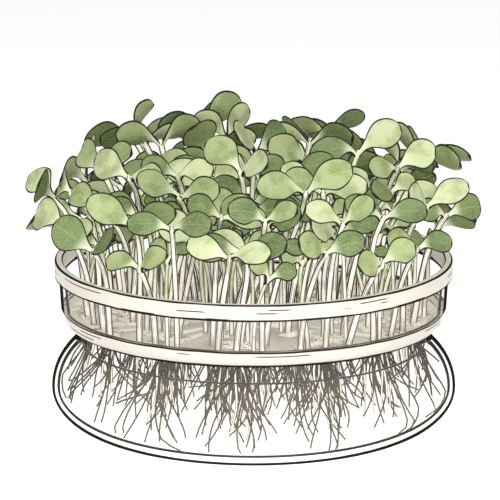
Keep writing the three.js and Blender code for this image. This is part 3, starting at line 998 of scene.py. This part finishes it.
def stem_material():
    """Cream, with a green blush towards the top, painted shade in green on stems deeper in the crop, and
    dark lines along the stem.
    """
    material, tree, shader, place = new_material("stem", 0.5, 0.25)
    along, right, _, tone = (mark(tree, name) for name in Skin.MARKS)
    blush = noise(tree, place, BLUSH_SCALE, 2.0)
    # The green is a blush towards the top, and painted shade on inner stems and sprouts, whose higher
    # tone greens them further down
    height = plus(tree, along, times(tree, tone, 0.6))
    share = times(tree, ranged(tree, height, 0.6, 1.3), ranged(tree, blush, 0.3, 0.6, 0.5, 1.0))
    colour = mixed(tree, share, CREAM, BLUSH_AND_SHADE_GREEN)
    waver = times(tree, minus(tree, noise(tree, place, WAVER_SCALE, 2.0), 0.5), 0.16)
    turn = plus(tree, calc(tree, "ABSOLUTE", right), waver)
    beside_line = calc(tree, "ABSOLUTE", minus(tree, turn, 0.75))
    line_half = ranged(tree, along, 0.2, 0.4, 0.2, 0.17)
    outer_line = ranged(tree, minus(tree, beside_line, line_half), 0.02, -0.02)
    broken = ranged(tree, noise(tree, place, BROKEN_SCALE, 3.0), 0.5, 0.56)
    inner_line = ranged(tree, calc(tree, "ABSOLUTE", minus(tree, turn, 0.3)), 0.1, 0.05)
    line = most(tree, outer_line, times(tree, inner_line, broken))
    green_line = times(tree, ranged(tree, tone, 0.2, 0.8), ranged(tree, along, 0.2, 0.4))
    drawn = mixed(tree, green_line, INK, GREEN_INK)
    tree.links.new(mixed(tree, line, colour, drawn), shader.inputs["Base Color"])
    bumped(tree, shader, minus(tree, noise(tree, place, STEM_GRAIN_SCALE), line), 0.0001, 0.4)
    return material


def root_material():
    """Pale roots with a dark line on each side, and dark fine ones, told apart by their tone."""
    material, tree, shader, place = new_material("root", 0.5, 0.15)
    side = calc(tree, "ABSOLUTE", mark(tree, "across"))
    tone = most(tree, mark(tree, "tone"), ranged(tree, side, 0.46, 0.56))
    mottle = noise(tree, place, MOTTLE_SCALE, 3.0)
    pale = mixed(tree, mottle, *PALE_ROOT)
    dark = mixed(tree, mottle, *DARK_ROOT)
    tree.links.new(mixed(tree, tone, pale, dark), shader.inputs["Base Color"])
    bumped(tree, shader, mottle, 0.0001, 0.5)
    return material


def felt_material():
    """Matted roots: a pale ground crossed by darker threads."""
    material, tree, shader, place = new_material("root_felt", 0.9)
    threads = node(tree, "ShaderNodeTexVoronoi", {"Vector": place, "Scale": THREAD_SCALE},
                   feature="DISTANCE_TO_EDGE").outputs[0]
    thread = ranged(tree, threads, 0.12, 0.02)
    ground = mixed(tree, noise(tree, place, GROUND_SCALE), *FELT_GROUND)
    colour = mixed(tree, times(tree, thread, 0.5), ground, FELT_THREAD)
    tree.links.new(colour, shader.inputs["Base Color"])
    bumped(tree, shader, thread, 0.0004, 0.8)
    return material


def vector_calc(tree, operation, *inputs):
    return node(tree, "ShaderNodeVectorMath", dict(enumerate(inputs)), operation=operation)


def from_axis(tree, place):
    flat = vector_calc(tree, "MULTIPLY", place, (1, 1, 0)).outputs[0]
    return vector_calc(tree, "LENGTH", flat).outputs["Value"]


def around(tree, place, scale, offset):
    """Noise that changes along a ring about the axis, and hardly with height."""
    flat = vector_calc(tree, "MULTIPLY", place, (1.0, 1.0, 0.05)).outputs[0]
    moved = vector_calc(tree, "ADD", flat, (offset, 0, 0)).outputs[0]
    return noise(tree, moved, scale, 1.0)


def round_waver(tree, place):
    """How far a line round the piece strays up and down, in metres."""
    return times(tree, minus(tree, around(tree, place, ROUND_SCALE, 0.0), 0.5), ROUND_WAVER)


def ring_line(tree, height, waver, level, width):
    """1 on a line round the piece at a level, 0 beside it."""
    gap = calc(tree, "ABSOLUTE", minus(tree, plus(tree, height, waver), level * MM))
    return ranged(tree, gap, width * MM * 0.6, width * MM * 0.4)


def draw_clear(tree, shader, cloud, tint, alpha, line):
    """The tint of a clear piece, with solid ink where its lines are."""
    colour = mixed(tree, cloud, *tint)
    tree.links.new(mixed(tree, line, colour, INK), shader.inputs["Base Color"])
    tree.links.new(most(tree, alpha, line, clamp=True), shader.inputs["Alpha"])


def tray_material():
    """Clear wall between a milky rim and a milky band, with their edges and dashes drawn dark, and
    painted shade in ink where the wall is seen edge on.
    """
    material, tree, shader, place = new_material("tray_clear", 0.25, clear=True)
    height = upward(tree, place)
    waver = round_waver(tree, place)
    radius = from_axis(tree, place)
    on_edge = most(tree, ranged(tree, radius, (RIM_R - 0.9) * MM, (RIM_R - 0.6) * MM),
                   ranged(tree, radius, (RIM_INNER_R + 0.6) * MM, (RIM_INNER_R + 0.4) * MM))
    line = times(tree, ring_line(tree, height, waver, *TRAY_TOP_EDGE), on_edge)
    for level, width in TRAY_EDGES:
        line = most(tree, line, ring_line(tree, height, waver, level, width))
    for level, offset in TRAY_DASHES:
        dash = ranged(tree, around(tree, place, DASH_SCALE, offset), 0.55, 0.58)
        drawn = times(tree, ring_line(tree, height, waver, level, TRAY_DASH_WIDTH), dash)
        line = most(tree, line, drawn)
    in_wall = times(tree, ranged(tree, height, BAND_TOP_Z * MM, (BAND_TOP_Z + 0.4) * MM),
                    ranged(tree, height, RIM_BOTTOM_Z * MM, (RIM_BOTTOM_Z - 0.4) * MM))
    # Painted shade: the wall turns to ink where it is seen edge on
    edge = ranged(tree, facing(tree), *PAINTED_WALL_EDGE)
    line = most(tree, line, times(tree, edge, in_wall))
    cloud = noise(tree, place, CLOUD_SCALE, 2.0)
    milky = ranged(tree, in_wall, 0.0, 1.0, RIM_ALPHA, WALL_ALPHA)
    alpha = plus(tree, milky, times(tree, cloud, TRAY_CLOUD))
    draw_clear(tree, shader, cloud, TRAY_TINT, alpha, line)
    tree.links.new(ranged(tree, line, 0.0, 1.0, 0.3, 0.0), shader.inputs["Specular IOR Level"])
    return material


def glass_material():
    """Clear glass with a faint warm tint, with painted shade in ink where it is seen edge on."""
    material, tree, shader, place = new_material("bowl_glass", 0.08, clear=True)
    height = upward(tree, place)
    upright = upward(tree, node(tree, "ShaderNodeTexCoord").outputs["Normal"])
    shift = times(tree, calc(tree, "MINIMUM", upright, 0.0), UNDERSIDE_SHIFT)
    # Painted shade: the glass turns to ink where it is seen edge on
    edge = ranged(tree, minus(tree, facing(tree), shift), *PAINTED_GLASS_EDGE)
    beyond_foot = ranged(tree, from_axis(tree, place), FOOT_R * MM, (FOOT_R + 3) * MM)
    inner_low = times(tree, ranged(tree, upright, 0.3, 0.5),
                      ranged(tree, height, INNER_LOW_Z[0] * MM, INNER_LOW_Z[1] * MM))
    edge = times(tree, times(tree, edge, beyond_foot), minus(tree, 1.0, inner_low))
    level, offset = FOOT_DASH
    dash = ranged(tree, around(tree, place, DASH_SCALE, offset), 0.5, 0.54)
    drawn = times(tree, ring_line(tree, height, round_waver(tree, place), level, FOOT_DASH_WIDTH), dash)
    line = most(tree, edge, drawn)
    cloud = noise(tree, place, CLOUD_SCALE, 2.0)
    alpha = plus(tree, times(tree, cloud, GLASS_CLOUD), GLASS_ALPHA)
    draw_clear(tree, shader, cloud, GLASS_TINT, alpha, line)
    tree.links.new(ranged(tree, line, 0.0, 1.0, 0.4, 0.0), shader.inputs["Specular IOR Level"])
    return material


def water_material():
    """Still water with a faint warm tint and a thin dark line where it meets the glass."""
    material, tree, shader, place = new_material("water", 0.03, 0.1, clear=True)
    line = ring_line(tree, upward(tree, place), 0.0, *WATER_LINE)
    cloud = noise(tree, place, WATER_CLOUD_SCALE, 2.0)
    alpha = plus(tree, times(tree, cloud, WATER_CLOUD), WATER_ALPHA)
    draw_clear(tree, shader, cloud, WATER_TINT, alpha, line)
    return material


# Turned pieces


def arc(centre_r, centre_z, reach_r, reach_z, start, end, steps):
    points = []
    for step in range(steps + 1):
        angle = between(start, end, step / steps)
        points.append((centre_r + reach_r * math.cos(angle), centre_z + reach_z * math.sin(angle)))
    return points


def eased(profile, radius):
    """A profile with its corners rounded, apart from its ends."""
    points = [profile[0]]
    for before, corner, after in zip(profile, profile[1:], profile[2:]):
        here = np.array(corner, float)
        back, ahead = np.array(before) - here, np.array(after) - here
        reach = min(radius, np.linalg.norm(back) * CORNER_LIMIT, np.linalg.norm(ahead) * CORNER_LIMIT)
        start = here + back / np.linalg.norm(back) * reach
        end = here + ahead / np.linalg.norm(ahead) * reach
        for step in range(CORNER_STEPS + 1):
            share = step / CORNER_STEPS
            point = start * (1 - share) ** 2 + here * 2 * share * (1 - share) + end * share**2
            points.append(tuple(point))
    points.append(profile[-1])
    return points


def turned(name, profile, material):
    """A profile that starts and ends on the axis, turned about Z."""
    points, rings = [], []
    for radius, height in profile:
        if radius < 1e-6:
            rings.append([len(points)])
            points.append((0, 0, height * MM))
            continue
        rings.append(list(range(len(points), len(points) + ROUND_SIDES)))
        for side in range(ROUND_SIDES):
            x, y, _ = polar(side / ROUND_SIDES * 2 * math.pi, radius * MM)
            points.append((x, y, height * MM))
    faces = []
    for low, high in zip(rings, rings[1:]):
        for side in range(ROUND_SIDES):
            after = (side + 1) % ROUND_SIDES
            corners = [low[side % len(low)], low[after % len(low)],
                       high[after % len(high)], high[side % len(high)]]
            face = list(dict.fromkeys(corners))
            if len(face) > 2:
                faces.append(face)
    mesh = new_mesh(name, points, faces, [material])
    mesh.update()
    return new_object(name, mesh)


def bowl_profile():
    outer = side_profile(0, 0)
    inner = side_profile(GLASS, BOWL_FLOOR)[::-1]
    lip = arc(LIP_R - GLASS / 2, LIP_TOP_Z - GLASS / 2, GLASS / 2, GLASS / 2, 0, math.pi, LIP_STEPS)
    return [(0, 0), *outer, *lip, *inner, (0, BOWL_FLOOR)]


def side_profile(inset, floor_z):
    """The bowl's side from its foot to where its lip begins, moved inwards by inset."""
    reach = BELLY_R - FOOT_R - inset
    neck_angle = math.acos((LIP_R - inset - FOOT_R) / reach)
    lower = arc(FOOT_R, BELLY_Z, reach, BELLY_Z - floor_z, -math.pi / 2, 0, LOWER_SIDE_STEPS)
    upper = arc(FOOT_R, BELLY_Z, reach, SHOULDER_HEIGHT - inset, 0, neck_angle, UPPER_SIDE_STEPS)[1:]
    return [*lower, *upper, (LIP_R - inset, upper[-1][1] + LIP_RISE)]


def water_profile():
    """The water's side inside the glass, with its surface drawn up a little at the glass."""
    inset = GLASS + TOUCH
    side = [point for point in side_profile(inset, BOWL_FLOOR + TOUCH) if point[1] < WATER_Z - 1]
    edge = bowl_radius(WATER_Z, inset)
    surface = [(edge - inwards, WATER_Z + rise) for inwards, rise in MENISCUS]
    return [(0, BOWL_FLOOR + TOUCH), *side, *surface, (0, WATER_Z - SURFACE_DROP)]


def tray_profile():
    floor_bottom = TRAY_FLOOR_Z - TRAY_FLOOR_THICKNESS
    band_low = between(TRAY_FOOT_Z, BAND_TOP_Z, BAND_CURVE_SHARE)
    inner_r = BAND_R - WALL_THICKNESS
    foot = [(0, floor_bottom), (TRAY_FOOT_INNER_R, floor_bottom), (TRAY_FOOT_INNER_R, TRAY_FOOT_Z),
            (TRAY_FOOT_OUTER_R, TRAY_FOOT_Z), (BAND_R - BAND_INSET, band_low), (BAND_R, BAND_TOP_Z)]
    wall = [(BAND_R, BAND_TOP_Z - BAND_OVERLAP), (BAND_R, BAND_TOP_Z), (BAND_R + BAND_STEP, BAND_TOP_Z),
            (WALL_TOP_R, RIM_BOTTOM_Z), (RIM_R, RIM_BOTTOM_Z), (RIM_R, RIM_TOP_Z),
            (RIM_INNER_R, RIM_TOP_Z), (WALL_TOP_R - WALL_THICKNESS, RIM_BOTTOM_Z),
            (inner_r, TRAY_FLOOR_Z), (inner_r - FLOOR_CORNER, TRAY_FLOOR_Z)]
    return [*eased(foot, BAND_ROUNDING)[:-1], *eased(wall, WALL_ROUNDING), (0, TRAY_FLOOR_Z)]


def pierce_floor(tray):
    """Cuts the round root holes through the tray's floor."""
    mesh = bpy.data.meshes.new("holes")
    cutter = bmesh.new()
    for place in cluster_places():
        middle_z = TRAY_FLOOR_Z - TRAY_FLOOR_THICKNESS / 2
        centre = polar(place["angle"], place["radius"], middle_z) * MM
        hole = bmesh.ops.create_cone(cutter, cap_ends=True, segments=HOLE_SEGMENTS,
                                     radius1=ROOT_HOLE_R * MM, radius2=ROOT_HOLE_R * MM,
                                     depth=HOLE_CUT_DEPTH * MM)
        bmesh.ops.translate(cutter, verts=hole["verts"], vec=Vector(centre))
    cutter.to_mesh(mesh)
    cutter.free()
    holes = new_object("holes", mesh)
    cut = tray.modifiers.new("holes", "BOOLEAN")
    cut.operation = "DIFFERENCE"
    cut.object = holes
    cut.solver = "EXACT"
    graph = bpy.context.evaluated_depsgraph_get()
    pierced = bpy.data.meshes.new_from_object(tray.evaluated_get(graph))
    tray.modifiers.clear()
    tray.data = pierced
    bpy.data.objects.remove(holes)


# The part

crop_materials = [leaf_material(), stem_material(), root_material(), felt_material()]
crop, taken = grow_crop()
for cluster in crop:
    place = cluster["place"]
    skin = Skin()
    draw = draws_from(place["seed"] + 1)
    # Stems get a higher tone the nearer they stand to the middle, which paints them greener: painted
    # shade deeper in the crop
    inner_share = 1 - place["ring"] / OUTER_RING
    for seedling in cluster["seedlings"]:
        girth = within(STEM_GIRTH, draw())
        add_stem(skin, seedling, girth, between(inner_share, draw(), STEM_TONE_CHANCE), draw)
        for leaf in seedling["leaves"]:
            add_leaf(skin, leaf, seedling["growth"], draw(), draw)
    sprouts, taken = grow_sprouts(place, taken)
    for sprout in sprouts:
        girth = within(SPROUT_GIRTH, draw())
        add_stem(skin, sprout, girth, within(SPROUT_STEM_TONE, draw()), draw)
        for leaf in sprout["leaves"]:
            add_leaf(skin, leaf, sprout["growth"], within(SPROUT_LEAF_TONE, draw()), draw)
    for tip in cluster["tips"]:
        add_root(skin, place, tip, draw)
    for _ in range(ROOTLETS_IN_CLUSTER):
        add_rootlet(skin, place, draw)
    add_felt(skin, place, draw)
    number = f"{place['number']:02d}"
    bunch = skin.make("bunch_" + number, crop_materials)
    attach(bunch, "root")
    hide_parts("seedlings_" + number)

tray = turned("sprouting_tray", tray_profile(), tray_material())
pierce_floor(tray)
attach(tray, "root")
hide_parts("tray")

bowl = turned("glass_bowl", bowl_profile(), glass_material())
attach(bowl, "root")
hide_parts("bowl")

water = turned("bowl_water", water_profile(), water_material())
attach(water, "root")
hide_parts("water")

# Setting

ELEVATION = math.radians(13.5)
CAMERA_DISTANCE = 3.0
PHOTO_WIDTH = 0.189
AIM = Vector((-0.0014, 0, 0.0695))
LAMP_AIM = Vector((0, 0, 0.06))
WORLD_STRENGTH = 0.3
FLOOR_SIZE = 30
FLOOR_Z = -0.0002
FLOOR_GLOW = 0.46
# Light and sight pass more than eight clear surfaces in the bowl, the water and the tray
MOST_CLEAR_SURFACES = 64

lens = bpy.data.cameras.new("camera")
camera = new_object("camera", lens)
lens.lens = lens.sensor_width * CAMERA_DISTANCE / PHOTO_WIDTH
lens.clip_start = 0.01
lens.clip_end = 20
away = Vector((0, -math.cos(ELEVATION), math.sin(ELEVATION)))
camera.location = AIM + away * CAMERA_DISTANCE
camera.rotation_euler = (-away).to_track_quat("-Z", "Y").to_euler()
bpy.context.scene.camera = camera


def soft_light(name, place, size, power, shadow):
    lamp = bpy.data.lights.new(name, "AREA")
    lamp.use_shadow = shadow
    lamp.shape = "DISK"
    lamp.size = size
    lamp.energy = power
    light = new_object(name, lamp)
    light.location = place
    light.rotation_euler = (LAMP_AIM - Vector(place)).to_track_quat("-Z", "Y").to_euler()


soft_light("key", (-0.45, -1.0, 0.7), size=0.6, power=1.5, shadow=True)
soft_light("fill", (0.1, -1.0, 1.0), size=0.9, power=19, shadow=False)

world = bpy.data.worlds.new("studio")
world.use_nodes = True
sky = world.node_tree.nodes["Background"].inputs
sky["Color"].default_value = (1, 1, 1, 1)
sky["Strength"].default_value = WORLD_STRENGTH
bpy.context.scene.world = world
bpy.context.scene.view_settings.view_transform = "Standard"
bpy.context.scene.cycles.transparent_max_bounces = MOST_CLEAR_SURFACES

bpy.ops.mesh.primitive_plane_add(size=FLOOR_SIZE, location=(0, 0, FLOOR_Z))
floor = bpy.context.object
floor.name = "floor"
floor_paint = bpy.data.materials.new("floor")
floor_paint.use_nodes = True
paper = floor_paint.node_tree.nodes["Principled BSDF"].inputs
paper["Base Color"].default_value = (0.98, 0.98, 0.97, 1)
paper["Roughness"].default_value = 0.9
paper["Emission Color"].default_value = (1, 1, 1, 1)
paper["Emission Strength"].default_value = FLOOR_GLOW
floor.data.materials.append(floor_paint)
